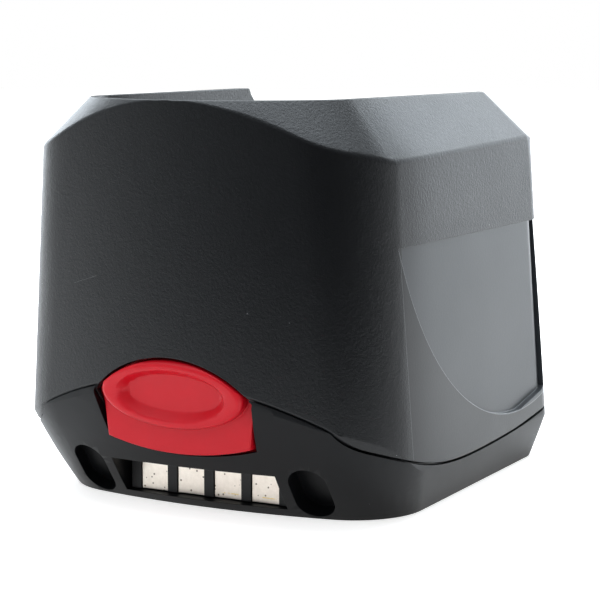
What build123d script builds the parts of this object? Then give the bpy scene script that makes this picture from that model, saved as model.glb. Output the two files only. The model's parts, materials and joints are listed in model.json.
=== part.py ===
from build123d import *
from math import cos, radians, sin, sqrt, tan
import os

# Power tool battery pack, standing on the lid that slides onto the tool.
# Origin: centre of the footprint on the floor. -Y is the nose with the button, +Z is up.

# Moulded body, seen from above
body_width = 78.0
body_depth = 91.4
body_height = 75.1
widest_level = 9.0
side_draft = 3.1
nose_draft = 0.8
nose_radius = 88.0
front_corner_radius = 15.0
front_corner_growth_share = 0.03
back_corner_radius = 8.1
wall = 2.5

# Parting line between housing and lid, as a profile seen from the side
seam_low_y = 0.5
seam_low_z = 7.9
seam_back_z = 12.2
seam_bend_setback = 10.5
seam_bend_z = 14.5
seam_rise_setback = 6.0
seam_rise_z = 17.9
seam_nose_reach = 0.6
seam_nose_z = 27.2
seam_clearance = 0.1
seam_groove_width = 0.45
seam_groove_depth = 1.2

# U-shaped rim with sloped shoulders
rim_front_inset = 12.7
rim_back_inset = 10.3
rim_nose_radius = 29.5
rim_corner_radius = 15.0
rim_end_setback = 14.25
rim_end_radius = 3.0
rim_land = 1.5
shoulder_height = 15.0
shoulder_front_outset = 0.8
shoulder_back_outset = 1.9
shoulder_nose_run = 15.0
shoulder_back_run = 15.0
shoulder_nose_radius = 44.0
shoulder_corner_radius = 18.0
shoulder_end_radius = 9.0

# Hollow inside the rim, open at the back
hollow_depth = 11.5
hollow_draft = 2.0
hollow_floor_radius = 2.0
leg_core_below_rim = 7.0

# Chamfer of the lid: outlines at the floor, half way up and above the nose
floor_side_inset = 2.8
floor_nose_setback = 13.7
floor_back_setback = 2.25
floor_nose_radius = 130.0
floor_corner_radius = 14.0
floor_back_radius = 7.0
flare_mid_z = 13.0
flare_mid_outset = 1.2
flare_mid_nose_setback = 5.0
flare_mid_back_outset = 0.35
flare_mid_nose_radius = 150.0
flare_mid_corner_radius = 16.5
flare_mid_back_radius = 7.5
flare_top_z = 30.0
flare_top_outset = 4.8
flare_top_nose_outset = 1.6
flare_top_back_outset = 3.15
flare_top_nose_radius = 180.0
flare_top_corner_radius = 17.0
flare_top_back_radius = 8.0
lid_floor = 2.5

# Label pockets on both sides
pocket_depth = 1.2
pocket_front_setback = 18.3
pocket_top_drop = 25.9
pocket_mid_y = -11.2
pocket_mid_z = 25.5
pocket_low_y = 26.2
pocket_low_z = 12.1
pocket_back_setback = 5.25
pocket_back_z = 14.6

# Button opening in the nose
arch_top_z = 29.8
arch_side_half = 16.4
arch_side_z = 22.6
notch_half = 15.3
notch_corner_z = 13.4
notch_low_z = 11.3
button_clearance = 0.5
button_face_setback = 4.0
button_plate = 2.5
button_recess = 0.2
flange_reach = 1.0
flange_gap = 0.3
flange_thickness = 1.5

# Raised lens and thumb dish of the button
lens_half = 14.6
lens_rise = 6.4
lens_centre_z = 22.8
lens_setback = 1.1
lens_lean = 9.0
lens_root = 5.0
lens_edge_radius = 1.2
dish_half = 11.4
dish_rise = 4.9
dish_run = 1.6
dish_depth = 1.8

# Button springs
spring_x = 9.0
spring_z = 17.0
spring_radius = 2.4
spring_wire = 0.6
spring_turns = 6
spring_boss_radius = 3.3
spring_boss_setback = 9.0
spring_peg_radius = 1.6
spring_peg_length = 2.5

# Contact window and terminals
window_half = 17.2
window_floor_z = 1.6
window_top_z = 8.6
window_roof = 1.2
contact_pitch = 7.88
contact_width = 5.68
contact_count = 4
contact_setback = 15.1
contact_thickness = 0.8
contact_fit = 0.1
block_fit = 0.2
block_rib_reach = 0.3
tail_end_setback = 25.0
bulkhead_setback = 20.0
bulkhead_thickness = 2.0
bulkhead_half = 19.0
bulkhead_neck_half = 14.0
bulkhead_top_z = 19.0

# Oval guide pockets beside the window
oval_x = 23.0
oval_z = 5.6
oval_width = 7.2
oval_length = 12.0
oval_depth = 2.6
oval_backing = 1.0

# Cells and their holders
cell_radius = 9.2
cell_end_room = 4.0
cell_pitch = 19.6
cell_front_setback = 32.6
cell_nub_radius = 4.0
cell_nub_height = 0.8
cell_groove_depth = 0.4
cell_groove_width = 1.0
cell_groove_inset = 3.0
cell_edge = 0.5
cell_columns = 3
holder_width = 8.0
holder_edge = 1.2
holder_fit = 0.15
holder_corner = 8.0
foam_thickness = 2.0
foam_half = 20.0
foam_inset = 4.0
foam_gap = 0.2
ring_thickness = 0.4
ring_hole = 4.6
strip_width = 8.0
strip_thickness = 0.2
sheet_thickness = 0.3
sheet_gap = 0.1
sheet_inset = 2.0

# Circuit board
board_half = 24.0
board_back_y = 31.0
board_gap = 2.0
board_thickness = 1.6
board_post_radius = 2.5
board_screw_x = 20.5
board_screw_front_y = -19.0
board_screw_back_y = 27.5
board_screw_radius = 1.1
board_screw_length = 6.0
board_screw_head_radius = 2.1
board_screw_head_height = 1.5
holder_post_front_y = -3.6
holder_post_back_y = 29.0
holder_post_radius = 2.5
tab_reach = 7.0
tab_width = 5.0
driver_length = 10.0
driver_width = 9.0
driver_height = 4.4
driver_x = 8.0
driver_y = 20.0
chip_size = 7.0
chip_height = 1.4
chip_y = -4.0
shunt_length = 12.0
shunt_width = 4.0
shunt_height = 1.2
shunt_y = -14.0
header_length = 14.0
header_width = 5.0
header_height = 6.0
header_x = -13.0
header_y = 6.0
bead_size = 4.0
bead_height = 2.6
bead_gap = 0.3
bead_x = 12.0
bead_lead_radius = 0.4
bead_lead_spacing = 2.5

# Lid screws and their bosses
screw_front_x = 20.2
screw_front_setback = 20.1
screw_back_inset = 8.0
screw_back_setback = 6.25
boss_joint_z = 12.0
boss_radius = 3.0
boss_rib_thickness = 2.0
boss_rib_low_z = 27.0
screw_radius = 1.25
screw_fit = 0.1
screw_length = 16.0
screw_head_radius = 2.2
screw_head_height = 2.2
screw_head_z = 3.2
screw_drive_radius = 1.2
screw_drive_depth = 1.2
counterbore_radius = 2.4

overrun = 5.0

# Ends and sides that follow from the sizes above
half_width = body_width / 2
nose_y = -body_depth / 2 - (arch_top_z - widest_level) * tan(radians(nose_draft))
back_y = body_depth / 2 + (seam_back_z - widest_level) * tan(radians(side_draft))
far_nose_y = nose_y - overrun
rim_nose_y = nose_y + (body_height - widest_level) * tan(radians(nose_draft))
rim_end_y = back_y - rim_end_setback
rim_front_half = half_width - rim_front_inset
rim_back_half = half_width - rim_back_inset
shoulder_front_half = half_width + shoulder_front_outset
shoulder_back_half = half_width + shoulder_back_outset
floor_nose_y = nose_y + floor_nose_setback
flare_mid_nose_y = nose_y + flare_mid_nose_setback
seam_bend_y = nose_y + seam_bend_setback
seam_rise_y = nose_y + seam_rise_setback
seam_nose_y = nose_y - seam_nose_reach
pocket_front_y = nose_y + pocket_front_setback
pocket_back_y = back_y - pocket_back_setback
pocket_top_z = body_height - pocket_top_drop
button_face_y = nose_y + button_face_setback
lens_front_y = nose_y + lens_setback
spring_boss_y = nose_y + spring_boss_setback
contact_front_y = nose_y + contact_setback
contact_back_y = contact_front_y + contact_thickness
bulkhead_front_y = nose_y + bulkhead_setback
tail_end_y = nose_y + tail_end_setback
screw_front_y = nose_y + screw_front_setback
screw_back_x = half_width - screw_back_inset
screw_back_y = back_y - screw_back_setback

# Levels and places of the inner pieces
hollow_floor_z = body_height - hollow_depth
roof_z = hollow_floor_z - wall
cell_top_z = roof_z - foam_thickness - foam_gap
upper_row_z = cell_top_z - cell_radius
lower_row_z = upper_row_z - cell_pitch
holder_low_z = lower_row_z - cell_radius - holder_edge
cell_length = body_width - 2 * (wall + cell_end_room)
strip_x = cell_length / 2
holder_post_x = strip_x - holder_width / 2
cell_front_y = nose_y + cell_front_setback
cell_back_y = cell_front_y + (cell_columns - 1) * cell_pitch
tail_top_z = window_top_z - 2 * block_fit
board_z = tail_top_z
board_top_z = board_z + board_thickness
board_front_y = bulkhead_front_y + bulkhead_thickness + board_gap


def plan_face(front_half, back_half, nose, back, arc_radius, front_radius, back_radius, level):
    """Outline seen from above: a bowed nose, straight sides and a straight back."""
    drop = arc_radius - sqrt(arc_radius**2 - front_half**2)
    left = (-front_half, nose + drop)
    right = (front_half, nose + drop)
    bow = ThreePointArc(left, (0, nose), right)
    sides = Polyline(right, (back_half, back), (-back_half, back), left)
    face = make_face(bow + sides)
    face = fillet(face.vertices().sort_by(Axis.Y)[:2], front_radius)
    face = fillet(face.vertices().sort_by(Axis.Y)[-2:], back_radius)
    return Pos(0, 0, level) * face


def prism_face(level, inset):
    """Drafted outline of the moulded body at one level."""
    side = (level - widest_level) * tan(radians(side_draft)) + inset
    nose = (level - widest_level) * tan(radians(nose_draft)) + inset
    half = half_width - side
    corner = front_corner_radius + (level - widest_level) * front_corner_growth_share - inset
    return plan_face(half, half, nose_y + nose, back_y - side, nose_radius - side,
                     corner, back_corner_radius - inset, level)


def prism_form(inset):
    """Body between the floor and the rim, without shoulders or chamfers."""
    return loft([prism_face(0, inset), prism_face(body_height, inset)], ruled=True)


def shoulder_form(inset):
    """Solid whose sloped sides are the shoulders below the rim."""
    slant = inset * sqrt(2)
    rim = plan_face(rim_front_half - slant, rim_back_half - slant, rim_nose_y + slant,
                    rim_end_y - slant, rim_nose_radius - slant, rim_corner_radius - slant,
                    rim_end_radius, body_height)
    foot = plan_face(shoulder_front_half - slant, shoulder_back_half - slant,
                     rim_nose_y - shoulder_nose_run + slant, rim_end_y + shoulder_back_run - slant,
                     shoulder_nose_radius - slant, shoulder_corner_radius - slant,
                     shoulder_end_radius - slant, body_height - shoulder_height)
    skirt = extrude(foot, -(body_height - shoulder_height))
    return loft([foot, rim], ruled=True) + skirt


def flare_face(outset, nose, back, nose_arc, corner, back_corner, level):
    """One outline of the chamfer, given by how far it stands outside the body."""
    half = half_width + outset
    return plan_face(half, half, nose, back, nose_arc, corner, back_corner, level)


def cone_form(inset):
    """Solid whose smoothly flared sides are the chamfer of the lid."""
    floor = flare_face(-floor_side_inset - inset, floor_nose_y + inset,
                       back_y - floor_back_setback - inset, floor_nose_radius - inset,
                       floor_corner_radius - inset, floor_back_radius - inset, 0)
    middle = flare_face(flare_mid_outset - inset, flare_mid_nose_y + inset,
                        back_y + flare_mid_back_outset - inset, flare_mid_nose_radius - inset,
                        flare_mid_corner_radius - inset, flare_mid_back_radius - inset, flare_mid_z)
    top = flare_face(flare_top_outset - inset, nose_y - flare_top_nose_outset + inset,
                     back_y + flare_top_back_outset - inset, flare_top_nose_radius - inset,
                     flare_top_corner_radius - inset, flare_top_back_radius - inset, flare_top_z)
    return loft([floor, middle, top]) + extrude(top, body_height - flare_top_z)


def outer_form(inset):
    """The whole closed outside, or the same shape inset by a wall."""
    return prism_form(inset) & shoulder_form(inset) & cone_form(inset)


def seam_region(drop, upper):
    """Everything above or below the parting line, lowered by drop."""
    low = (seam_low_y, seam_low_z - drop)
    back = (back_y + overrun, seam_back_z - drop)
    bend = (seam_bend_y, seam_bend_z - drop)
    rise = (seam_rise_y, seam_rise_z - drop)
    nose = (seam_nose_y, seam_nose_z - drop)
    back_arc = TangentArc(low, back, tangent=(1, 0))
    side_arc = TangentArc(low, bend, tangent=(-1, 0))
    bend_arc = TangentArc(bend, rise, tangent=side_arc % 1)
    nose_arc = TangentArc(rise, nose, tangent=bend_arc % 1)
    far_z = body_height + overrun if upper else -overrun
    rest = Polyline(nose, (far_nose_y, nose[1]), (far_nose_y, far_z), (back[0], far_z), back)
    face = make_face(back_arc + side_arc + bend_arc + nose_arc + rest)
    return extrude(Plane.YZ * face, body_width, both=True)


def block(x0, x1, y0, y1, z0, z1):
    """Box between two corners."""
    middle = Pos((x0 + x1) / 2, (y0 + y1) / 2, (z0 + z1) / 2)
    return middle * Box(x1 - x0, y1 - y0, z1 - z0)


def post(x, y, radius, z0, z1):
    """Upright cylinder."""
    return Pos(x, y, (z0 + z1) / 2) * Cylinder(radius, z1 - z0)


def rod_y(x, z, radius, y0, y1):
    """Cylinder along Y."""
    return Pos(x, (y0 + y1) / 2, z) * Rot(90, 0, 0) * Cylinder(radius, y1 - y0)


def rod_x(y, z, radius, x0, x1):
    """Cylinder along X."""
    return Pos((x0 + x1) / 2, y, z) * Rot(0, 90, 0) * Cylinder(radius, x1 - x0)


def hollow_form(grow):
    """The U-shaped hollow, or the same shape grown by a wall."""
    low = hollow_floor_z - grow
    lean = hollow_depth * tan(radians(hollow_draft))
    faces = []
    for level, inset in ((low, rim_land + lean - grow), (body_height + overrun, rim_land - grow)):
        faces.append(plan_face(rim_front_half - inset, rim_back_half - inset, rim_nose_y + inset,
                               back_y + overrun, rim_nose_radius - inset,
                               rim_corner_radius - inset, rim_end_radius, level))
    solid = loft(faces, ruled=True)
    floor_edges = solid.edges().group_by(Axis.Z)[0]
    return fillet(floor_edges, hollow_floor_radius)


def opening_face(margin):
    """Front outline of the button opening, shrunk by a margin."""
    top = (0, arch_top_z - margin)
    shoulder_half = arch_side_half - margin
    corner_half = notch_half - margin
    corner_z = notch_corner_z + margin
    arch = ThreePointArc((shoulder_half, arch_side_z), top, (-shoulder_half, arch_side_z))
    left = Line((-shoulder_half, arch_side_z), (-corner_half, corner_z))
    sill = ThreePointArc((-corner_half, corner_z), (0, notch_low_z + margin), (corner_half, corner_z))
    right = Line((corner_half, corner_z), (shoulder_half, arch_side_z))
    return make_face(arch + left + sill + right)


def opening_prism(margin):
    """The button opening run through the nose, from the front to the bulkhead."""
    face = Plane((0, bulkhead_front_y, 0), x_dir=(1, 0, 0), z_dir=(0, -1, 0)) * opening_face(margin)
    return extrude(face, bulkhead_front_y - nose_y + overrun)


def pocket_cut(side):
    """Label pocket on one side, with a floor that follows the drafted wall."""
    top_front = (pocket_front_y, pocket_top_z)
    top_back = (pocket_back_y, pocket_top_z)
    low = (pocket_low_y, pocket_low_z)
    sweep_arc = ThreePointArc(top_front, (pocket_mid_y, pocket_mid_z), low)
    rise = Line(low, (pocket_back_y, pocket_back_z))
    end = Line((pocket_back_y, pocket_back_z), top_back)
    face = make_face(sweep_arc + rise + end + Line(top_back, top_front))
    run = extrude(Plane.YZ * face, side * body_width)
    return run - prism_form(pocket_depth)


def screw_places():
    """Lid screw axes."""
    places = []
    for side in (-1, 1):
        places.append((side * screw_front_x, screw_front_y))
        places.append((side * screw_back_x, screw_back_y))
    return places


def housing_bosses():
    """Screw posts that hang from the closed end, the front ones ribbed to the nose wall."""
    posts = Part()
    for x, y in screw_places():
        posts += post(x, y, boss_radius, boss_joint_z, hollow_floor_z + wall)
        if y < 0:
            half = boss_rib_thickness / 2
            posts += block(x - half, x + half, nose_y, y, boss_rib_low_z, hollow_floor_z)
    return posts & outer_form(wall / 2)


def make_main_housing():
    """Moulded cup with rim, shoulders, label pockets and the arch over the button."""
    cavity = outer_form(wall) - hollow_form(wall)
    cavity -= block(-body_width, body_width, -body_depth, body_depth,
                    body_height - leg_core_below_rim, body_height + overrun)
    shell = (outer_form(0) - cavity) & seam_region(0, True)
    solid = shell + housing_bosses() - hollow_form(0)
    for side in (-1, 1):
        solid -= pocket_cut(side)
    for x, y in screw_places():
        solid -= post(x, y, screw_radius + screw_fit, 0, screw_head_z + screw_length + screw_fit)
    return solid - opening_prism(0)


def oval_tool(side, grow, depth):
    """Slot-shaped cutter, square to the chamfered nose of the lid."""
    lean = (floor_nose_y - flare_mid_nose_y) / flare_mid_z
    surface_y = floor_nose_y - oval_z * lean + oval_x**2 / (2 * floor_nose_radius)
    normal = (0, -1, -lean)
    plane = Plane((side * oval_x, surface_y, oval_z), x_dir=(1, 0, 0), z_dir=normal)
    slot = SlotOverall(oval_length + 2 * grow, oval_width + 2 * grow, rotation=90)
    return extrude(plane * slot, overrun) + extrude(plane * slot, -depth)


def lid_shell():
    """Closed outside of the lid, hollowed from above, with the shadow groove at the seam."""
    form = prism_form(0) & cone_form(0)
    inner = prism_form(wall) & cone_form(wall)
    inner -= block(-body_width, body_width, -body_depth, body_depth, -overrun, lid_floor)
    for side in (-1, 1):
        inner -= oval_tool(side, oval_backing, oval_depth + oval_backing)
    below = seam_region(seam_clearance, False)
    groove_band = form - (prism_form(seam_groove_depth) & cone_form(seam_groove_depth))
    groove_band -= seam_region(seam_groove_width, False)
    return ((form - inner) & below) - groove_band


def lid_inside():
    """Bulkhead, window roof and posts that stand on the lid floor."""
    rear = bulkhead_front_y + bulkhead_thickness
    parts = block(-bulkhead_neck_half, bulkhead_neck_half, bulkhead_front_y, rear, 0, bulkhead_top_z)
    parts += block(-bulkhead_half, bulkhead_half, bulkhead_front_y, rear, 0, window_top_z)
    parts += block(-bulkhead_half, bulkhead_half, far_nose_y, rear,
                   window_top_z, window_top_z + window_roof)
    parts += block(-bulkhead_half, bulkhead_half, far_nose_y, rear,
                   0, window_floor_z)
    for side in (-1, 1):
        cheek = side * (window_half + bulkhead_half) / 2
        half = (bulkhead_half - window_half) / 2
        parts += block(cheek - half, cheek + half, far_nose_y, rear,
                       0, window_top_z)
        parts += rod_y(side * spring_x, spring_z, spring_peg_radius,
                       bulkhead_front_y - spring_peg_length, bulkhead_front_y)
        for y in (board_screw_front_y, board_screw_back_y):
            parts += post(side * board_screw_x, y, board_post_radius, 0, board_z)
        for y in (holder_post_front_y, holder_post_back_y):
            parts += post(side * holder_post_x, y, holder_post_radius, 0, holder_low_z)
    for x, y in screw_places():
        parts += post(x, y, boss_radius + oval_backing / 2, 0, boss_joint_z)
    return parts & prism_form(wall / 2) & cone_form(wall / 2)


def make_contact_lid():
    """Moulded lid with notch, window, oval pockets, bulkhead and posts."""
    solid = lid_shell() + lid_inside()
    solid -= opening_prism(0)
    solid -= block(-window_half, window_half, far_nose_y, bulkhead_front_y,
                   window_floor_z, window_top_z)
    slot_half = (contact_count - 1) * contact_pitch / 2 + contact_width / 2 + block_fit
    slot_low = tail_top_z - contact_thickness - block_fit
    solid -= block(-slot_half, slot_half, bulkhead_front_y - overrun,
                   bulkhead_front_y + bulkhead_thickness + overrun, slot_low, window_top_z)
    for side in (-1, 1):
        solid -= oval_tool(side, 0, oval_depth)
        for y in (board_screw_front_y, board_screw_back_y):
            solid -= post(side * board_screw_x, y, board_screw_radius + screw_fit,
                          board_top_z - board_screw_length - screw_fit, board_z)
    for x, y in screw_places():
        solid -= post(x, y, screw_radius + screw_fit, 0, boss_joint_z)
        solid -= post(x, y, counterbore_radius, -overrun, screw_head_z)
    return solid


def lens_plane(depth):
    """Plane of the lens rim, leaning a little forward at the top."""
    lean = radians(lens_lean)
    normal = (0, -cos(lean), -sin(lean))
    middle = (0, lens_front_y + depth * cos(lean), lens_centre_z + depth * sin(lean))
    return Plane(middle, x_dir=(1, 0, 0), z_dir=normal)


def make_release_button():
    """Base plate that follows the nose, a raised lens with a thumb dish, and spring bosses."""
    back_inset = wall + flange_gap + flange_thickness
    window = opening_prism(button_clearance)
    shell = (window & outer_form(button_recess)) + (opening_prism(-flange_reach) & outer_form(wall + flange_gap))
    shell -= outer_form(back_inset)
    shell &= block(-body_width, body_width, button_face_y, bulkhead_front_y, 0, body_height)
    plate = window & block(-body_width, body_width, button_face_y, button_face_y + button_plate, 0, body_height)
    lens = extrude(lens_plane(0) * Ellipse(lens_half, lens_rise), -lens_root)
    lens = fillet(lens.faces().sort_by(Axis.Y)[0].edges(), lens_edge_radius)
    solid = plate + shell + (lens & window)
    dish_mouth = lens_plane(0) * Ellipse(dish_half, dish_rise)
    dish_floor = lens_plane(dish_depth) * Ellipse(dish_half - dish_run, dish_rise - dish_run)
    solid -= loft([dish_mouth, dish_floor])
    for side in (-1, 1):
        solid += rod_y(side * spring_x, spring_z, spring_boss_radius, button_face_y + button_plate / 2, spring_boss_y)
    return solid


def make_button_spring(side):
    """Compression spring between a button boss and the bulkhead."""
    start = spring_boss_y + spring_wire / 2 + seam_clearance
    length = bulkhead_front_y - spring_wire / 2 - seam_clearance - start
    path = Helix(length / spring_turns, length, spring_radius)
    section = Plane(path @ 0, z_dir=path % 0) * Circle(spring_wire / 2)
    coil = sweep(section, path=path)
    return Pos(side * spring_x, start, spring_z) * Rot(-90, 0, 0) * coil


def contact_x(index):
    """Centre of one contact plate."""
    return (index - (contact_count - 1) / 2) * contact_pitch


def make_terminal_block():
    """Moulded comb that carries the contact plates."""
    half = window_half - block_fit
    low = window_floor_z + block_fit
    tail_low = tail_top_z - contact_thickness
    solid = block(-half, half, contact_back_y, bulkhead_front_y, low, tail_low)
    for index in range(contact_count + 1):
        x0 = contact_x(index - 1) + contact_width / 2 + contact_fit
        x1 = contact_x(index) - contact_width / 2 - contact_fit
        x0 = max(x0, -half)
        x1 = min(x1, half)
        solid += block(x0, x1, contact_front_y - block_rib_reach, bulkhead_front_y, low, tail_top_z)
    return solid


def make_terminal(index):
    """Contact plate with a tail that runs back to the board."""
    x = contact_x(index)
    half = contact_width / 2
    low = window_floor_z + block_fit
    plate = block(x - half, x + half, contact_front_y, contact_back_y, low, tail_top_z)
    tail = block(x - half, x + half, contact_front_y, tail_end_y,
                 tail_top_z - contact_thickness, tail_top_z)
    corner = (plate + tail).edges().filter_by(Axis.X)
    corner = corner.filter_by(lambda e: e.center().Y < contact_front_y + seam_clearance)
    return fillet(corner.sort_by(Axis.Z)[-1:], contact_thickness / 2)


def cell_places():
    """Cell axes as (y, z, positive end), in the order of the series circuit."""
    front, middle, back = [cell_front_y + i * cell_pitch for i in range(cell_columns)]
    return [(front, lower_row_z, 1), (front, upper_row_z, -1), (middle, upper_row_z, 1),
            (back, upper_row_z, -1), (back, lower_row_z, 1), (middle, lower_row_z, -1)]


def make_cell(y, z, positive):
    """Round cell with a crimp groove and a raised positive nub."""
    half = cell_length / 2
    can = half - cell_nub_height
    groove = can - cell_groove_inset
    inner = cell_radius - cell_groove_depth
    profile = Polyline(
        (-half, 0), (-half, cell_radius - cell_edge), (-half + cell_edge, cell_radius),
        (groove - cell_groove_width, cell_radius), (groove - cell_groove_width / 2, inner),
        (groove, cell_radius), (can - cell_edge, cell_radius), (can, cell_radius - cell_edge),
        (can, cell_nub_radius), (half, cell_nub_radius), (half, 0), (-half, 0))
    solid = revolve(make_face(profile), Axis.X)
    turn = Rot(0, 0, 0) if positive > 0 else Rot(0, 0, 180)
    return Pos(0, y, z) * turn * solid


def make_insulating_rings():
    """Thin rings on the positive shoulders of the cells."""
    rings = []
    for y, z, positive in cell_places():
        shoulder = positive * (cell_length / 2 - cell_nub_height)
        end = shoulder + positive * ring_thickness
        x0, x1 = min(shoulder, end), max(shoulder, end)
        rings.append(rod_x(y, z, cell_radius - cell_edge, x0, x1) - rod_x(y, z, ring_hole, x0, x1))
    return Compound(children=rings)


def make_cell_holder(side):
    """Moulded frame round the cell ends."""
    y0 = cell_front_y - cell_radius - holder_edge
    y1 = cell_back_y + cell_radius + holder_edge
    z1 = cell_top_z + holder_edge
    middle = (side * (strip_x - holder_width / 2), (y0 + y1) / 2, (holder_low_z + z1) / 2)
    outline = RectangleRounded(y1 - y0, z1 - holder_low_z, holder_corner)
    plane = Plane(middle, x_dir=(0, 1, 0), z_dir=(1, 0, 0))
    solid = extrude(plane * outline, holder_width / 2, both=True)
    for y, z, _ in cell_places():
        solid -= rod_x(y, z, cell_radius + holder_fit, -cell_length, cell_length)
    return solid


def strip_between(a, b, side):
    """Flat nickel strip that joins two cell ends."""
    y = (a[0] + b[0]) / 2
    z = (a[1] + b[1]) / 2
    length_y = abs(a[0] - b[0]) + strip_width
    length_z = abs(a[1] - b[1]) + strip_width
    plane = Plane((side * strip_x, y, z), x_dir=(0, 1, 0), z_dir=(side, 0, 0))
    return extrude(plane * RectangleRounded(length_y, length_z, strip_width / 3), strip_thickness)


def make_nickel_strips(side):
    """Series links on one side of the cell block."""
    cells = cell_places()
    first = 0 if side < 0 else 1
    links = []
    for index in range(first, len(cells) - 1, 2):
        links.append(strip_between(cells[index], cells[index + 1], side))
    return Compound(children=links)


def make_power_tab(index):
    """Nickel strip from the last cell of the circuit down to the board."""
    y, z, _ = cell_places()[index]
    half = tab_width / 2
    strip = block(strip_x, strip_x + strip_thickness, y - half, y + half, board_top_z, z + half)
    foot = block(board_half - tab_reach, strip_x, y - half, y + half,
                 board_top_z, board_top_z + strip_thickness)
    return strip + foot


def make_insulating_sheet(side):
    """Thin sheet between the nickel strips and the housing."""
    near = strip_x + strip_thickness + sheet_gap
    x0, x1 = sorted((side * near, side * (near + sheet_thickness)))
    return block(x0, x1, cell_front_y - cell_radius + sheet_inset,
                 cell_back_y + cell_radius - sheet_inset,
                 lower_row_z - cell_radius + sheet_inset, cell_top_z - sheet_inset)


def make_foam_pad():
    """Pad between the upper cells and the roof of the housing."""
    return block(-foam_half, foam_half, cell_front_y - foam_inset, cell_back_y + foam_inset,
                 roof_z - foam_thickness, roof_z)


def make_circuit_board():
    """Board with its screw holes."""
    solid = block(-board_half, board_half, board_front_y, board_back_y, board_z, board_top_z)
    for side in (-1, 1):
        for y in (board_screw_front_y, board_screw_back_y):
            solid -= post(side * board_screw_x, y, board_screw_radius + screw_fit,
                          board_z - overrun, board_top_z + overrun)
    return solid


def standing_box(x, y, length, width, height):
    """Component that stands on the board."""
    return block(x - length / 2, x + length / 2, y - width / 2, y + width / 2,
                 board_top_z, board_top_z + height)


def make_board_parts():
    """Power switches, controller, shunt and header."""
    parts = []
    for side in (-1, 1):
        parts.append(standing_box(side * driver_x, driver_y, driver_length, driver_width, driver_height))
    parts.append(standing_box(0, chip_y, chip_size, chip_size, chip_height))
    parts.append(standing_box(0, shunt_y, shunt_length, shunt_width, shunt_height))
    parts.append(standing_box(header_x, header_y, header_width, header_length, header_height))
    return Compound(children=parts)


def make_thermistor():
    """Bead on two stiff leads, close under the middle cell."""
    y = cell_front_y + cell_pitch
    top = lower_row_z - cell_radius - bead_gap
    low = top - bead_height
    solid = block(bead_x - bead_size / 2, bead_x + bead_size / 2,
                  y - bead_size / 2, y + bead_size / 2, low, top)
    for side in (-1, 1):
        solid += post(bead_x + side * bead_lead_spacing / 2, y, bead_lead_radius, board_top_z, low)
    return solid


def make_screw(x, y, head_z, points_up, radius, length, head_radius, head_height):
    """Screw with a hexagon recess: shank one way from head_z, head the other way."""
    way = 1 if points_up else -1
    shank = sorted((head_z, head_z + way * length))
    head = sorted((head_z, head_z - way * head_height))
    drive = sorted((head_z - way * head_height, head_z - way * (head_height - screw_drive_depth)))
    solid = post(x, y, radius, *shank) + post(x, y, head_radius, *head)
    recess = extrude(RegularPolygon(screw_drive_radius, 6), drive[1] - drive[0])
    return solid - Pos(x, y, drive[0]) * recess


def make_lid_screws():
    """Four screws driven up through the lid."""
    screws = []
    for x, y in screw_places():
        screws.append(make_screw(x, y, screw_head_z, True, screw_radius, screw_length,
                                 screw_head_radius, screw_head_height))
    return Compound(children=screws)


def make_board_screws():
    """Four screws driven down through the board."""
    screws = []
    for side in (-1, 1):
        for y in (board_screw_front_y, board_screw_back_y):
            screws.append(make_screw(side * board_screw_x, y, board_top_z, False,
                                     board_screw_radius, board_screw_length,
                                     board_screw_head_radius, board_screw_head_height))
    return Compound(children=screws)


def build_nodes():
    """Every sub-part by its node name."""
    nodes = {
        "main_housing": make_main_housing(),
        "contact_lid": make_contact_lid(),
        "release_button": make_release_button(),
        "button_spring_left": make_button_spring(-1),
        "button_spring_right": make_button_spring(1),
        "terminal_block": make_terminal_block(),
        "circuit_board": make_circuit_board(),
        "board_parts": make_board_parts(),
        "board_screws": make_board_screws(),
        "thermistor": make_thermistor(),
        "insulating_rings": make_insulating_rings(),
        "cell_holder_left": make_cell_holder(-1),
        "cell_holder_right": make_cell_holder(1),
        "nickel_strips_left": make_nickel_strips(-1),
        "nickel_strips_right": make_nickel_strips(1),
        "power_tab_positive": make_power_tab(0),
        "power_tab_negative": make_power_tab(-1),
        "insulating_sheet_left": make_insulating_sheet(-1),
        "insulating_sheet_right": make_insulating_sheet(1),
        "foam_pad": make_foam_pad(),
        "lid_screws": make_lid_screws(),
    }
    for index, name in enumerate(("positive", "sense", "code", "negative")):
        nodes["terminal_" + name] = make_terminal(index)
    for index, place in enumerate(cell_places()):
        nodes["cell_" + str(index + 1)] = make_cell(*place)
    return nodes


os.makedirs("parts", exist_ok=True)
for name, shape in build_nodes().items():
    export_step(shape, os.path.join("parts", name + ".step"))
    print(name, round(shape.volume, 1))
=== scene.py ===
# %% [markdown]
# # A battery pack for a cordless tool
#
# The pack stands upside down: the face that slides onto the tool is on the floor, and the
# U-shaped rim points up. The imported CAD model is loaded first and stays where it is.
# Everything here is in metres, in the same frame as the CAD.

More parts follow.
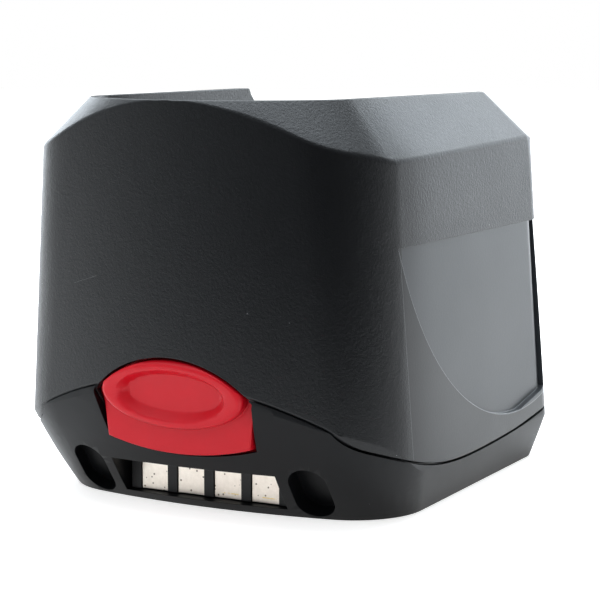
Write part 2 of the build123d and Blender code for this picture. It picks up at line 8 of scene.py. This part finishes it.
# %% Load the frame
import json
import math
import bpy
import bmesh
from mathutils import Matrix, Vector


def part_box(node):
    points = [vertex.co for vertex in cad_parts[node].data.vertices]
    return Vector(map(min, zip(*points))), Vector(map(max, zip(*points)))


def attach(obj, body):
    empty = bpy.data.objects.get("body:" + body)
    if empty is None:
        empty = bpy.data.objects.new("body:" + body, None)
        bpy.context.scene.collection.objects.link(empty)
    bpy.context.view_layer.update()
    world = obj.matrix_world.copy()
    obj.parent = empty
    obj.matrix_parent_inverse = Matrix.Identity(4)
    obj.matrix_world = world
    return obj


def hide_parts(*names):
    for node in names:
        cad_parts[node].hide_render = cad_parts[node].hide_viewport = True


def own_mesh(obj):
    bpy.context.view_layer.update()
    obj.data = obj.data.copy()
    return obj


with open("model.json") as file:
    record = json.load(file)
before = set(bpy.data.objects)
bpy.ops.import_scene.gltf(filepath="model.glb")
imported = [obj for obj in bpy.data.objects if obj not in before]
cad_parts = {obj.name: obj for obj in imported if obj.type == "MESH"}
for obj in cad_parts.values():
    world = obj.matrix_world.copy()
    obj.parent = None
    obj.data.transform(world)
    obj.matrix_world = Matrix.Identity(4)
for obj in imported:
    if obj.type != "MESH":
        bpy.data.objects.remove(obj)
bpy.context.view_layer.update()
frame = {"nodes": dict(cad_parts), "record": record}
nodes = frame["nodes"]

# %% [markdown]
# ## Camera
#
# The photograph was taken from the right of the nose, a little above the rim's height.
# The place and the lens were worked out from the outline of the pack, so the camera only
# has to be put there. A long lens keeps the upright edges nearly parallel.

# %% Camera
mm = 0.001
camera_data = bpy.data.cameras.new("camera")
camera = bpy.data.objects.new("camera", camera_data)
bpy.context.scene.collection.objects.link(camera)
camera.location = (180.46 * mm, -335.64 * mm, 85.79 * mm)
camera.rotation_euler = (math.radians(82.37), 0, math.radians(27.93))
camera_data.sensor_fit = "HORIZONTAL"
camera_data.sensor_width = 36
camera_data.lens = 117.4
camera_data.clip_start = 0.01
bpy.context.scene.camera = camera
print("camera at", [round(v, 3) for v in camera.location])

# %% [markdown]
# ## Floor, room and lamps
#
# Black plastic shows the room more than its own colour. The background is white where it is
# looked at. In reflections the room is white behind the pack and dim on the camera's side,
# so the sides that are seen edge-on turn grey and the faces that look at the camera stay
# black, as on a light table. The paper on the floor ends just in front of the pack, because
# more of it would show in the chamfers of the lid.

# %% Helpers for node materials
def new_material(name):
    """A new node material, with its node tree and its shader."""
    material = bpy.data.materials.new(name)
    material.use_nodes = True
    tree = material.node_tree
    shader = tree.nodes["Principled BSDF"]
    return material, tree, shader


def add_node(tree, kind, **settings):
    """A node of this kind, with its properties and sockets set by name."""
    node = tree.nodes.new(kind)
    for key, value in settings.items():
        if hasattr(node, key):
            setattr(node, key, value)
        else:
            node.inputs[key.replace("_", " ")].default_value = value
    return node


def join(tree, source, output, target, socket):
    """One link between two nodes."""
    tree.links.new(source.outputs[output], target.inputs[socket])


def seen_rays(tree):
    """1 for rays that are looked along: from the camera, in a reflection, through glass."""
    path = add_node(tree, "ShaderNodeLightPath")
    glossy = add_node(tree, "ShaderNodeMath", operation="MAXIMUM")
    through = add_node(tree, "ShaderNodeMath", operation="MAXIMUM")
    join(tree, path, "Is Camera Ray", glossy, 0)
    join(tree, path, "Is Glossy Ray", glossy, 1)
    join(tree, glossy, 0, through, 0)
    join(tree, path, "Is Transmission Ray", through, 1)
    return through


print("helpers ready")

# %% Floor
bpy.ops.object.select_all(action="DESELECT")
bpy.ops.mesh.primitive_plane_add(size=1, location=(0, 0, 0))
floor = bpy.context.object
floor.name = "floor"
sheet_front = 0.13
sheet_length = 3.0
gap_under_pack = 0.00002
view_turn = camera.rotation_euler.z
floor.scale = (sheet_length, sheet_length, 1)
floor.rotation_euler.z = view_turn
away = Vector((-math.sin(view_turn), math.cos(view_turn), 0))
floor.location = away * (sheet_length / 2 - sheet_front) + Vector((0, 0, -gap_under_pack))
floor_paper, tree, shader = new_material("pale_paper")
shader.inputs["Roughness"].default_value = 0.6
shader.inputs["Specular IOR Level"].default_value = 0.1
shader.inputs["Base Color"].default_value = (0.86, 0.853, 0.845, 1)
output = tree.nodes["Material Output"]
glow = add_node(tree, "ShaderNodeEmission", Strength=0.60)
glow.inputs["Color"].default_value = (1, 0.996, 0.99, 1)
lifted = add_node(tree, "ShaderNodeAddShader")
choice = add_node(tree, "ShaderNodeMixShader")
join(tree, shader, 0, lifted, 0)
join(tree, glow, 0, lifted, 1)
join(tree, seen_rays(tree), 0, choice, 0)
join(tree, shader, 0, choice, 1)
join(tree, lifted, 0, choice, 2)
join(tree, choice, 0, output, "Surface")
floor.data.materials.append(floor_paper)
print("floor", floor.dimensions[:])

# %% [markdown]
# ## The room
#
# A room could be a picture of a studio, but plain colours keep the lesson small. Rays that
# light the part get an even pale colour. Rays that are mirrored get a ramp from dark, on the
# camera's side, to nearly white behind the pack. Rays from the camera see white.

# %% Room
def between(tree, factor, output, low, high):
    """A colour that runs from low to high as the factor runs from 0 to 1."""
    node = add_node(tree, "ShaderNodeMix", data_type="RGBA")
    node.inputs["A"].default_value = (*low, 1)
    node.inputs["B"].default_value = (*high, 1)
    join(tree, factor, output, node, "Factor")
    return node


dark_side = -0.72
white_side = 0.26
behind_pack = (-0.46, 0.53, 0.10)
world = bpy.data.worlds.new("room")
bpy.context.scene.world = world
world.use_nodes = True
tree = world.node_tree
tree.nodes.clear()
output = add_node(tree, "ShaderNodeOutputWorld")
lit = add_node(tree, "ShaderNodeBackground", Strength=0.8)
lit.inputs["Color"].default_value = (0.97, 0.985, 1, 1)
white = add_node(tree, "ShaderNodeBackground", Strength=1.0)
white.inputs["Color"].default_value = (1, 1, 1, 1)
shown = add_node(tree, "ShaderNodeBackground", Strength=1.0)
direction = add_node(tree, "ShaderNodeTexCoord")
lean = add_node(tree, "ShaderNodeVectorMath", operation="DOT_PRODUCT")
lean.inputs[1].default_value = behind_pack
ramp = add_node(tree, "ShaderNodeMapRange", From_Min=dark_side, From_Max=white_side)
join(tree, direction, "Generated", lean, 0)
join(tree, lean, "Value", ramp, "Value")
shade = between(tree, ramp, "Result", (0.006, 0.007, 0.009), (0.89, 0.95, 1.0))
join(tree, shade, "Result", shown, "Color")
path = add_node(tree, "ShaderNodeLightPath")
straight = add_node(tree, "ShaderNodeMath", operation="MAXIMUM")
join(tree, path, "Is Camera Ray", straight, 0)
join(tree, path, "Is Transmission Ray", straight, 1)
mirrored = add_node(tree, "ShaderNodeMixShader")
plain = add_node(tree, "ShaderNodeMixShader")
join(tree, path, "Is Glossy Ray", mirrored, 0)
join(tree, lit, 0, mirrored, 1)
join(tree, shown, 0, mirrored, 2)
join(tree, straight, 0, plain, 0)
join(tree, mirrored, 0, plain, 1)
join(tree, white, 0, plain, 2)
join(tree, plain, 0, output, 0)
print("room: white to look at, dim in the reflections of the front")

# %% [markdown]
# ## The lamps
#
# Large soft lamps suit black plastic, because it shows the shape of a lamp as a highlight. One
# hangs above, one fills the front from high up, and three stand behind the pack, where the
# sides and the sloped shoulders mirror them. The camera doesn't see the lamps themselves.

# %% Lamps
lamp_colour = (0.85, 0.93, 1.0)
middle_of_pack = (0, 0, 0.035)


def soft_lamp(name, place, size, brightness):
    """Soft lamp that looks at the pack; its power follows from its size and brightness."""
    data = bpy.data.lights.new(name, "AREA")
    data.shape = "RECTANGLE"
    data.size, data.size_y = size
    data.energy = math.pi * size[0] * size[1] * brightness
    data.color = lamp_colour
    lamp = bpy.data.objects.new(name, data)
    bpy.context.scene.collection.objects.link(lamp)
    lamp.location = place
    aim = Vector(middle_of_pack) - Vector(place)
    lamp.rotation_euler = aim.to_track_quat("-Z", "Y").to_euler()
    lamp.visible_camera = False
    return lamp


soft_lamp("lamp_over", (-0.10, 0.16, 0.80), (0.75, 0.70), 6.0)
soft_lamp("lamp_front_high", (-0.25, -0.55, 0.60), (0.40, 0.40), 1.6)
soft_lamp("lamp_back_right", (0.13, 0.94, 0.14), (0.45, 0.35), 4.5)
soft_lamp("lamp_back_left", (-0.75, 0.50, 0.20), (0.4, 0.5), 5.0)
soft_lamp("lamp_back_high", (0.04, 0.95, 0.52), (0.7, 0.35), 5.0)
print("five soft lamps")

# %% [markdown]
# ## Smooth moulded skins
#
# The CAD nodes come in as loose triangles. A moulded part has small rounds on all its
# edges, which catch the light. Rounds could be faked in the shading, but then the outline
# stays sharp and the exported mesh has none. So a copy of each CAD node that shows is merged
# into one skin, its flat areas are cleaned, and its sharp edges get a fine bevel. The copy
# then stands for the node.
#
# Most edges get only a small share of the bevel. The shoulders get more, up to the place
# where they fade out, because a wide bevel tears the thin faces there. The ends of the rim
# get all of it.

# %% How much each edge is rounded
fine_share = 0.1
shoulder_share = 0.3
rim_end_share = 1.0
shoulder_end = 0.037
rim_end_start = 0.022
least_crosswise = 0.0008


def edge_amounts(mesh, sharp, soft_above, narrow_above):
    """Share of the bevel for each edge of a mesh, and none where it isn't sharp."""
    shape = bmesh.new()
    shape.from_mesh(mesh)
    amounts = []
    for edge in shape.edges:
        folded = len(edge.link_faces) == 2 and edge.calc_face_angle(0) > math.radians(sharp)
        low_end = min(vertex.co.z for vertex in edge.verts)
        front_end = min(vertex.co.y for vertex in edge.verts)
        back_end = max(vertex.co.y for vertex in edge.verts)
        crosswise = abs(edge.verts[0].co.x - edge.verts[1].co.x) > least_crosswise
        amount = fine_share
        if soft_above < low_end < narrow_above and back_end < shoulder_end:
            amount = shoulder_share
        if low_end > narrow_above and crosswise and front_end > rim_end_start:
            amount = rim_end_share
        amounts.append(amount if folded else 0.0)
    shape.free()
    return amounts


print("shares of the bevel:", fine_share, shoulder_share, rim_end_share)

# %% Points that stay inside the CAD's box
def keep_inside(mesh, limits):
    """Rounds can bulge by a hair: points past the CAD's own box go back onto it."""
    for axis in range(3):
        places = [vertex.co[axis] for vertex in limits.vertices]
        least, most = min(places), max(places)
        for vertex in mesh.vertices:
            vertex.co[axis] = min(max(vertex.co[axis], least), most)


print("helper against bulges")

# %% A skin from a CAD node
merge_distance = 0.000004
flat_angle = 0.02


def moulded_skin(node, round_size, segments=2, sharp=32, soft_above=1.0, narrow_above=2.0):
    """Merged copy of a CAD node with small rounds on its sharp edges."""
    bpy.ops.object.select_all(action="DESELECT")
    source = nodes[node]
    skin = source.copy()
    skin.data = source.data.copy()
    skin.name = node + "_skin"
    skin.parent = None
    for key in list(skin.keys()):
        del skin[key]
    skin.data.materials.clear()
    bpy.context.scene.collection.objects.link(skin)
    bpy.context.view_layer.objects.active = skin
    skin.select_set(True)
    bpy.ops.object.mode_set(mode="EDIT")
    bpy.ops.mesh.select_all(action="SELECT")
    bpy.ops.mesh.remove_doubles(threshold=merge_distance)
    bpy.ops.mesh.customdata_custom_splitnormals_clear()
    bpy.ops.mesh.dissolve_limited(angle_limit=math.radians(flat_angle))
    bpy.ops.object.mode_set(mode="OBJECT")
    if round_size:
        weights = skin.data.attributes.new("bevel_weight_edge", "FLOAT", "EDGE")
        weights.data.foreach_set("value", edge_amounts(skin.data, sharp, soft_above, narrow_above))
        bevel = skin.modifiers.new("edge_rounds", "BEVEL")
        bevel.width = round_size * mm
        bevel.segments = segments
        bevel.limit_method = "WEIGHT"
        bevel.use_clamp_overlap = False
        bpy.ops.object.modifier_apply(modifier="edge_rounds")
        keep_inside(skin.data, source.data)
    bpy.ops.object.shade_smooth_by_angle(angle=math.radians(sharp))
    even = skin.modifiers.new("even_shading", "WEIGHTED_NORMAL")
    even.keep_sharp = True
    bpy.ops.object.modifier_apply(modifier="even_shading")
    skin.select_set(False)
    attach(skin, "button" if node == "release_button" else "pack")
    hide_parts(node)
    print(skin.name, "faces", len(skin.data.polygons))
    return skin


print("skins merge points closer than", merge_distance)

# %% Housing, lid and button
housing = moulded_skin("main_housing", 1.9, 3, 24, 0.055, 0.0735)
lid = moulded_skin("contact_lid", 1.2, 2, 24)
button = moulded_skin("release_button", 0.9, 2, 52, 0.0)

# %% [markdown]
# ## Black moulded plastic
#
# Glass-filled nylon comes out of a textured tool, so it has a fine grain that breaks up
# its reflections. A picture of a grain could be wrapped round the part, but it would show
# seams. Here the grain is two noises of different size on the part's own coordinates.
# A slow noise changes the gloss a little, as handling does, and a few specks of dust lie
# on it.

# %% Black plastic
finer = 2.7
fine_height = 0.45
speck_size = 0.022


def tested(tree, operation, source, output, *limits):
    """A mask: 1 where the value passes the test against its limits, else 0."""
    node = add_node(tree, "ShaderNodeMath", operation=operation)
    for socket, limit in enumerate(limits, start=1):
        node.inputs[socket].default_value = limit
    join(tree, source, output, node, 0)
    return node


def black_plastic(name, colour, gloss, grain_size, grain_depth, dust):
    """Moulded black plastic with grain, slightly uneven gloss and some dust."""
    material, tree, shader = new_material(name)
    shader.inputs["Specular IOR Level"].default_value = 0.30
    place = add_node(tree, "ShaderNodeTexCoord")
    grain_scale = 1 / (grain_size * mm)
    fine_scale = finer / (grain_size * mm)
    grain = add_node(tree, "ShaderNodeTexNoise", Scale=grain_scale, Detail=3.0, Roughness=0.6)
    slow = add_node(tree, "ShaderNodeTexNoise", Scale=30.0, Detail=4.0, Roughness=0.6)
    fine = add_node(tree, "ShaderNodeTexNoise", Scale=fine_scale, Detail=2.0)
    for noise in (grain, slow, fine):
        join(tree, place, "Object", noise, "Vector")
    both = add_node(tree, "ShaderNodeMath", operation="MULTIPLY_ADD")
    both.inputs[1].default_value = fine_height
    join(tree, fine, 0, both, 0)
    join(tree, grain, 0, both, 2)
    bump = add_node(tree, "ShaderNodeBump", Strength=0.55, Distance=grain_depth * mm)
    bump.name = "grain_bump"
    join(tree, both, 0, bump, "Height")
    join(tree, bump, 0, shader, "Normal")
    rough = add_node(tree, "ShaderNodeMapRange", From_Min=0.3, From_Max=0.7,
                     To_Min=gloss - 0.02, To_Max=gloss + 0.03)
    rough.name = "gloss_range"
    join(tree, slow, 0, rough, "Value")
    join(tree, rough, "Result", shader, "Roughness")
    specks = add_node(tree, "ShaderNodeTexVoronoi", Scale=230.0)
    join(tree, place, "Object", specks, "Vector")
    some = tested(tree, "LESS_THAN", specks, "Distance", speck_size * dust)
    tint = between(tree, some, 0, colour, (0.22, 0.22, 0.23))
    tint.name = "dust_mix"
    join(tree, tint, "Result", shader, "Base Color")
    return material


satin = black_plastic("lid_satin", (0.0022, 0.0025, 0.0031), 0.40, 0.5, 0.008, 0.8)
satin.node_tree.nodes["Principled BSDF"].inputs["Specular IOR Level"].default_value = 0.16
lid.data.materials.append(satin)
print("satin black on the lid")

# %% [markdown]
# ## Two textures on one housing
#
# The tool maker etches the grain only where it is wanted. The label pocket and the strip in
# front of it stay smooth, because a label sticks better there, and a fine witness line runs
# where the slide of the mould met the main block. Its edge catches the light, which is painted
# on as a pale line: a painted highlight. The zones could be cut into the mesh as faces of
# their own, but a mask leaves the mesh as it is. The line runs down the side, so the mask is
# made from the part's own height and depth: smooth behind the line, grained in front of it
# and above the pocket.

# %% Masks on the housing
grained = black_plastic("housing_grain", (0.0024, 0.0028, 0.0036), 0.40, 0.55, 0.12, 1.0)
tree = grained.node_tree
shader = tree.nodes["Principled BSDF"]
line_lean = 0.048
line_front = -0.02495
line_top = 0.0490
line_half_width = 0.00009
side_start = 0.030
pocket_back = 0.0407
place = add_node(tree, "ShaderNodeTexCoord")
axes = add_node(tree, "ShaderNodeSeparateXYZ")
join(tree, place, "Object", axes, 0)
behind = add_node(tree, "ShaderNodeMath", operation="MULTIPLY_ADD")
behind.inputs[1].default_value = line_lean
join(tree, axes, "Z", behind, 0)
join(tree, axes, "Y", behind, 2)
sideways = add_node(tree, "ShaderNodeMath", operation="ABSOLUTE")
join(tree, axes, "X", sideways, 0)


def product(tree, first, second):
    """Both masks together."""
    node = add_node(tree, "ShaderNodeMath", operation="MULTIPLY")
    join(tree, first, 0, node, 0)
    join(tree, second, 0, node, 1)
    return node


on_side = tested(tree, "GREATER_THAN", sideways, 0, side_start)
below = tested(tree, "LESS_THAN", axes, "Z", line_top)
before_back = tested(tree, "LESS_THAN", axes, "Y", pocket_back)
side_below = product(tree, product(tree, on_side, below), before_back)
behind_line = tested(tree, "GREATER_THAN", behind, 0, line_front)
smooth = product(tree, side_below, behind_line)
near_line = tested(tree, "COMPARE", behind, 0, line_front, line_half_width)
# The witness line's pale colour is a painted highlight, where its edge catches the light.
witness_highlight = product(tree, side_below, near_line)
print("masks for the smooth zone and the witness line")

# %% [markdown]
# ## A painted highlight on the pocket's edge
#
# The curved edge of the pocket is rounded and catches the light, so a thin pale line is painted
# along it: a painted highlight. The edge is an arc, so a mask can follow it: the circle through
# three points of the arc gives a centre and a radius, and the distance from that centre tells
# the floor of the pocket from its edge. How pale the floor is follows the photograph's tone and
# is a guess. A strip at the front of the floor keeps the dark colour as painted shade.

# %% The curved edge of the label pocket
def circle_through(first, second, third):
    """Centre and radius of the circle through three points."""
    ax, ay = first
    bx, by = second
    cx, cy = third
    turn = 2 * (ax * (by - cy) + bx * (cy - ay) + cx * (ay - by))
    a, b, c = ax * ax + ay * ay, bx * bx + by * by, cx * cx + cy * cy
    middle_y = (a * (by - cy) + b * (cy - ay) + c * (ay - by)) / turn
    middle_z = (a * (cx - bx) + b * (ax - cx) + c * (bx - ax)) / turn
    return middle_y, middle_z, math.hypot(ax - middle_y, ay - middle_z)


arc_points = ((-0.0277, 0.0492), (-0.0112, 0.0255), (0.0262, 0.0121))
# The floor in front of this depth keeps its dark colour: a strip of painted shade.
shade_strip_back = -0.0243
# Place and width of the painted highlight along the rounded edge.
highlight_offset = 0.00010
highlight_half_width = 0.00011
most_sideways = 0.7
arc_bottom = 0.0115
arc_y, arc_z, arc_radius = circle_through(*arc_points)
flat = add_node(tree, "ShaderNodeCombineXYZ")
join(tree, axes, "Y", flat, "Y")
join(tree, axes, "Z", flat, "Z")
reach = add_node(tree, "ShaderNodeVectorMath", operation="DISTANCE")
reach.inputs[1].default_value = (0, arc_y, arc_z)
join(tree, flat, 0, reach, 0)
inside = tested(tree, "LESS_THAN", reach, "Value", arc_radius)
# Only the floor behind the strip of painted shade is made paler.
behind_shade_strip = tested(tree, "GREATER_THAN", axes, "Y", shade_strip_back)
pocket_floor = product(tree, product(tree, side_below, inside), behind_shade_strip)
on_arc = tested(tree, "COMPARE", reach, "Value", arc_radius + highlight_offset, highlight_half_width)
facing = add_node(tree, "ShaderNodeNewGeometry")
facing_axes = add_node(tree, "ShaderNodeSeparateXYZ")
facing_side = add_node(tree, "ShaderNodeMath", operation="ABSOLUTE")
join(tree, facing, "True Normal", facing_axes, 0)
join(tree, facing_axes, "X", facing_side, 0)
faces_out = tested(tree, "GREATER_THAN", facing_side, 0, most_sideways)
above_bottom = tested(tree, "GREATER_THAN", axes, "Z", arc_bottom)
outer_face = product(tree, faces_out, above_bottom)
# Painted highlight where the rounded edge catches the light.
pocket_edge_highlight = product(tree, product(tree, side_below, on_arc), outer_face)
print("pocket arc radius", round(arc_radius, 4))

# %% [markdown]
# ## A scratch
#
# One faint scratch makes a plain face look used. It could be painted, but two limits do it
# here: the coordinates are turned along the scratch, and a thin strip of them is marked.

# %% A faint scratch on the front
scratch_middle = (-0.0185, 0, 0.0425)
scratch_lean = -17
scratch_half_length = 0.0030
scratch_half_width = 0.00004
front_half = -0.02
scratch_place = add_node(tree, "ShaderNodeMapping", vector_type="TEXTURE")
scratch_place.inputs["Location"].default_value = scratch_middle
scratch_place.inputs["Rotation"].default_value = (0, math.radians(scratch_lean), 0)
scratch_axes = add_node(tree, "ShaderNodeSeparateXYZ")
join(tree, place, "Object", scratch_place, 0)
join(tree, scratch_place, 0, scratch_axes, 0)
along_it = tested(tree, "COMPARE", scratch_axes, "X", 0.0, scratch_half_length)
across_it = tested(tree, "COMPARE", scratch_axes, "Z", 0.0, scratch_half_width)
on_front = tested(tree, "LESS_THAN", axes, "Y", front_half)
scratch = product(tree, product(tree, along_it, across_it), on_front)
print("scratch mask")

# %% [markdown]
# ## Putting the masks to work
#
# Each mask now changes one thing. The smooth zone gets less grain and a little more gloss, the
# line is paler as a painted highlight and the scratch paler as wear, then come the floor of the
# pocket with its strip of painted shade, and the painted highlight on its edge.

# %% Grain only where it is wanted
more_gloss = -0.04
calm = add_node(tree, "ShaderNodeMapRange", To_Min=0.55, To_Max=0.10)
join(tree, smooth, 0, calm, "Value")
join(tree, calm, "Result", tree.nodes["grain_bump"], "Strength")
gloss_step = add_node(tree, "ShaderNodeMath", operation="MULTIPLY_ADD")
gloss_step.inputs[1].default_value = more_gloss
join(tree, smooth, 0, gloss_step, 0)
join(tree, tree.nodes["gloss_range"], "Result", gloss_step, 2)
join(tree, gloss_step, 0, shader, "Roughness")
print("less grain and more gloss in the smooth zone")

# %% Colours of the lines and the pocket
def over(tree, base, mask, output, colour):
    """The base colour with another one laid over it where the mask is 1."""
    node = add_node(tree, "ShaderNodeMix", data_type="RGBA")
    node.inputs["B"].default_value = (*colour, 1)
    join(tree, mask, output, node, "Factor")
    join(tree, base, "Result", node, "A")
    return node


# Pale marks: a painted highlight on the witness line, and wear on the scratch.
scratch_and_line_highlight = add_node(tree, "ShaderNodeMath", operation="MAXIMUM")
join(tree, witness_highlight, 0, scratch_and_line_highlight, 0)
join(tree, scratch, 0, scratch_and_line_highlight, 1)
scratched_and_highlit = over(tree, tree.nodes["dust_mix"], scratch_and_line_highlight, 0, (0.05, 0.05, 0.052))
# Paler floor of the pocket; the strip at its front stays dark as painted shade.
pale_floor = over(tree, scratched_and_highlit, pocket_floor, 0, (0.027, 0.030, 0.034))
# Painted highlight along the edge of the pocket.
highlit_edge = over(tree, pale_floor, pocket_edge_highlight, 0, (0.13, 0.135, 0.14))
join(tree, highlit_edge, "Result", shader, "Base Color")
print("colours of the lines and the pocket")

# %% [markdown]
# ## A corner that eases out
#
# The corner of the real wall doesn't end in a line: it eases into the flat side over some
# millimetres. A very shallow bump across the side leans the shading towards the nose there,
# which leaves the outline as it is.

# %% Easing of the front corner
ease_place = -0.027
ease_width = 0.009
ease_height = 0.0010
along = add_node(tree, "ShaderNodeMath", operation="MULTIPLY_ADD")
along.inputs[1].default_value = 1 / ease_width
along.inputs[2].default_value = -ease_place / ease_width
join(tree, axes, "Y", along, 0)
swell = add_node(tree, "ShaderNodeMath", operation="TANH")
join(tree, along, 0, swell, 0)
ease = add_node(tree, "ShaderNodeBump", Strength=1.0, Distance=ease_height)
join(tree, swell, 0, ease, "Height")
join(tree, ease, 0, tree.nodes["grain_bump"], "Normal")
housing.data.materials.append(grained)
print("grain and smooth zones on the housing")

# %% [markdown]
# ## Red button
#
# The button is the same kind of plastic in red, a little smoother than the housing. It could
# be a flat red, but then the dish would look empty: a slow noise shifts the red a little, and
# some light goes into the plastic, so the colour stays full in the dish.

# %% Red plastic
red, tree, shader = new_material("button_red")
place = add_node(tree, "ShaderNodeTexCoord")
cloud = add_node(tree, "ShaderNodeTexNoise", Scale=260.0, Detail=4.0)
join(tree, place, "Object", cloud, "Vector")
tint = between(tree, cloud, 0, (0.50, 0.0025, 0.010), (0.56, 0.004, 0.014))
join(tree, tint, "Result", shader, "Base Color")
shader.inputs["Roughness"].default_value = 0.36
shader.inputs["Specular IOR Level"].default_value = 0.25
shader.inputs["Subsurface Weight"].default_value = 0.08
shader.inputs["Subsurface Scale"].default_value = 0.001
skin_noise = add_node(tree, "ShaderNodeTexNoise", Scale=2600.0, Detail=2.0)
bump = add_node(tree, "ShaderNodeBump", Strength=0.3, Distance=0.000006)
join(tree, place, "Object", skin_noise, "Vector")
join(tree, skin_noise, 0, bump, "Height")
join(tree, bump, 0, shader, "Normal")
button.data.materials.append(red)
print("red button")

# %% [markdown]
# ## Contact plates
#
# Tinned copper that has been used: pale and dull, with small dark pits where the blades
# spark, and on two plates a thin yellow line where a blade has rubbed the tin away. Pits and
# line could be cut into the metal, but they are so shallow that their colour is enough.

# %% Tinned plates
plate_low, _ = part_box("terminal_positive")
rub_height = 0.0010
rub_line_half_width = 0.00008
rub_side = 0.0025
tinned, tree, shader = new_material("tinned_copper")
place = add_node(tree, "ShaderNodeTexCoord")
marks = add_node(tree, "ShaderNodeTexNoise", Scale=700.0, Detail=6.0, Roughness=0.75)
pits = add_node(tree, "ShaderNodeTexVoronoi", Scale=850.0)
for texture in (marks, pits):
    join(tree, place, "Object", texture, "Vector")
round_pit = add_node(tree, "ShaderNodeMapRange", From_Min=0.20, From_Max=0.12)
join(tree, pits, "Distance", round_pit, "Value")
stain = add_node(tree, "ShaderNodeMapRange", From_Min=0.35, From_Max=0.75)
join(tree, marks, 0, stain, "Value")
pale = between(tree, stain, "Result", (0.86, 0.79, 0.70), (0.72, 0.65, 0.56))
specked = over(tree, pale, round_pit, "Result", (0.16, 0.13, 0.10))
height = add_node(tree, "ShaderNodeSeparateXYZ")
join(tree, place, "Object", height, 0)
rub_middle = plate_low.z + rub_height
rub_line = tested(tree, "COMPARE", height, "Z", rub_middle, rub_line_half_width)
right_side = tested(tree, "GREATER_THAN", height, "X", rub_side)
broken = tested(tree, "GREATER_THAN", marks, 0, 0.5)
worn = product(tree, product(tree, rub_line, right_side), broken)
brassy = over(tree, specked, worn, 0, (0.80, 0.62, 0.22))
join(tree, brassy, "Result", shader, "Base Color")
shader.inputs["Metallic"].default_value = 0.75
shader.inputs["Roughness"].default_value = 0.34
print("tinned finish")

# %% Four plates
plate_names = ("positive", "sense", "code", "negative")
for name in plate_names:
    plate = moulded_skin("terminal_" + name, 0.4, 2, 32, 0.0)
    plate.data.materials.append(tinned)
print("plates", len(plate_names))

# %% [markdown]
# ## Parts inside and underneath
#
# The cells, holders, board and springs only show when the pack is opened. They could all
# stay grey. One helper gives each its own simple finish instead, so a cut-away view of the
# part makes sense.

# %% Plain inner finishes
def inner_finish(slot_name, colour, rough, metal, size, contrast=0.25):
    """Simple finish with a noise that varies the colour and the gloss."""
    material, tree, shader = new_material(slot_name + "_finish")
    place = add_node(tree, "ShaderNodeTexCoord")
    noise = add_node(tree, "ShaderNodeTexNoise", Scale=1 / (size * mm), Detail=4.0)
    join(tree, place, "Object", noise, "Vector")
    darker = [part * (1 - contrast) for part in colour]
    paler = [min(part * (1 + contrast), 1) for part in colour]
    tint = between(tree, noise, 0, darker, paler)
    join(tree, tint, "Result", shader, "Base Color")
    bump = add_node(tree, "ShaderNodeBump", Strength=0.3, Distance=0.00001)
    join(tree, noise, 0, bump, "Height")
    join(tree, bump, 0, shader, "Normal")
    shader.inputs["Roughness"].default_value = rough
    shader.inputs["Metallic"].default_value = metal
    return material


# Each row: colour, roughness, metal, size of the noise in mm and, where it isn't 0.25, contrast.
inner_looks = {
    "block_plastic": ((0.003, 0.003, 0.0032), 0.6, 0.0, 0.6),
    "spring_steel": ((0.6, 0.6, 0.6), 0.3, 1.0, 0.3),
    "board_laminate": ((0.02, 0.17, 0.06), 0.35, 0.0, 1.2),
    "component_epoxy": ((0.03, 0.03, 0.032), 0.5, 0.0, 0.5),
    "screw_steel": ((0.32, 0.32, 0.33), 0.35, 1.0, 0.3),
    "insulating_card": ((0.72, 0.7, 0.62), 0.7, 0.0, 0.8, 0.1),
    "holder_plastic": ((0.1, 0.1, 0.11), 0.5, 0.0, 0.6),
    "nickel": ((0.6, 0.58, 0.54), 0.3, 1.0, 0.4),
    "foam": ((0.07, 0.07, 0.07), 0.95, 0.0, 0.5),
    "cell_wrap": ((0.06, 0.25, 0.45), 0.35, 0.0, 2.0, 0.1),
}
finishes = {slot: inner_finish(slot, *look) for slot, look in inner_looks.items()}
slot_of = {entry["node"]: entry["material_slot"] for entry in frame["record"]["subparts"]}
for name, node in nodes.items():
    if slot_of[name] in finishes:
        node.data.materials.clear()
        node.data.materials.append(finishes[slot_of[name]])
print("inner finishes", len(finishes))

# %% [markdown]
# ## Springs
#
# A pressed button shortens its two springs. Each CAD spring is hidden, and a merged copy with a
# mesh of its own stands for it.

# %% Springs
for side in ("left", "right"):
    name = "button_spring_" + side
    coil = moulded_skin(name, 0.0)
    coil.data.materials.append(finishes["spring_steel"])
    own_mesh(coil)

# %% [markdown]
# ## View
#
# The plain view transform keeps the colours as they were set.

# %% View settings
bpy.context.scene.view_settings.view_transform = "Standard"
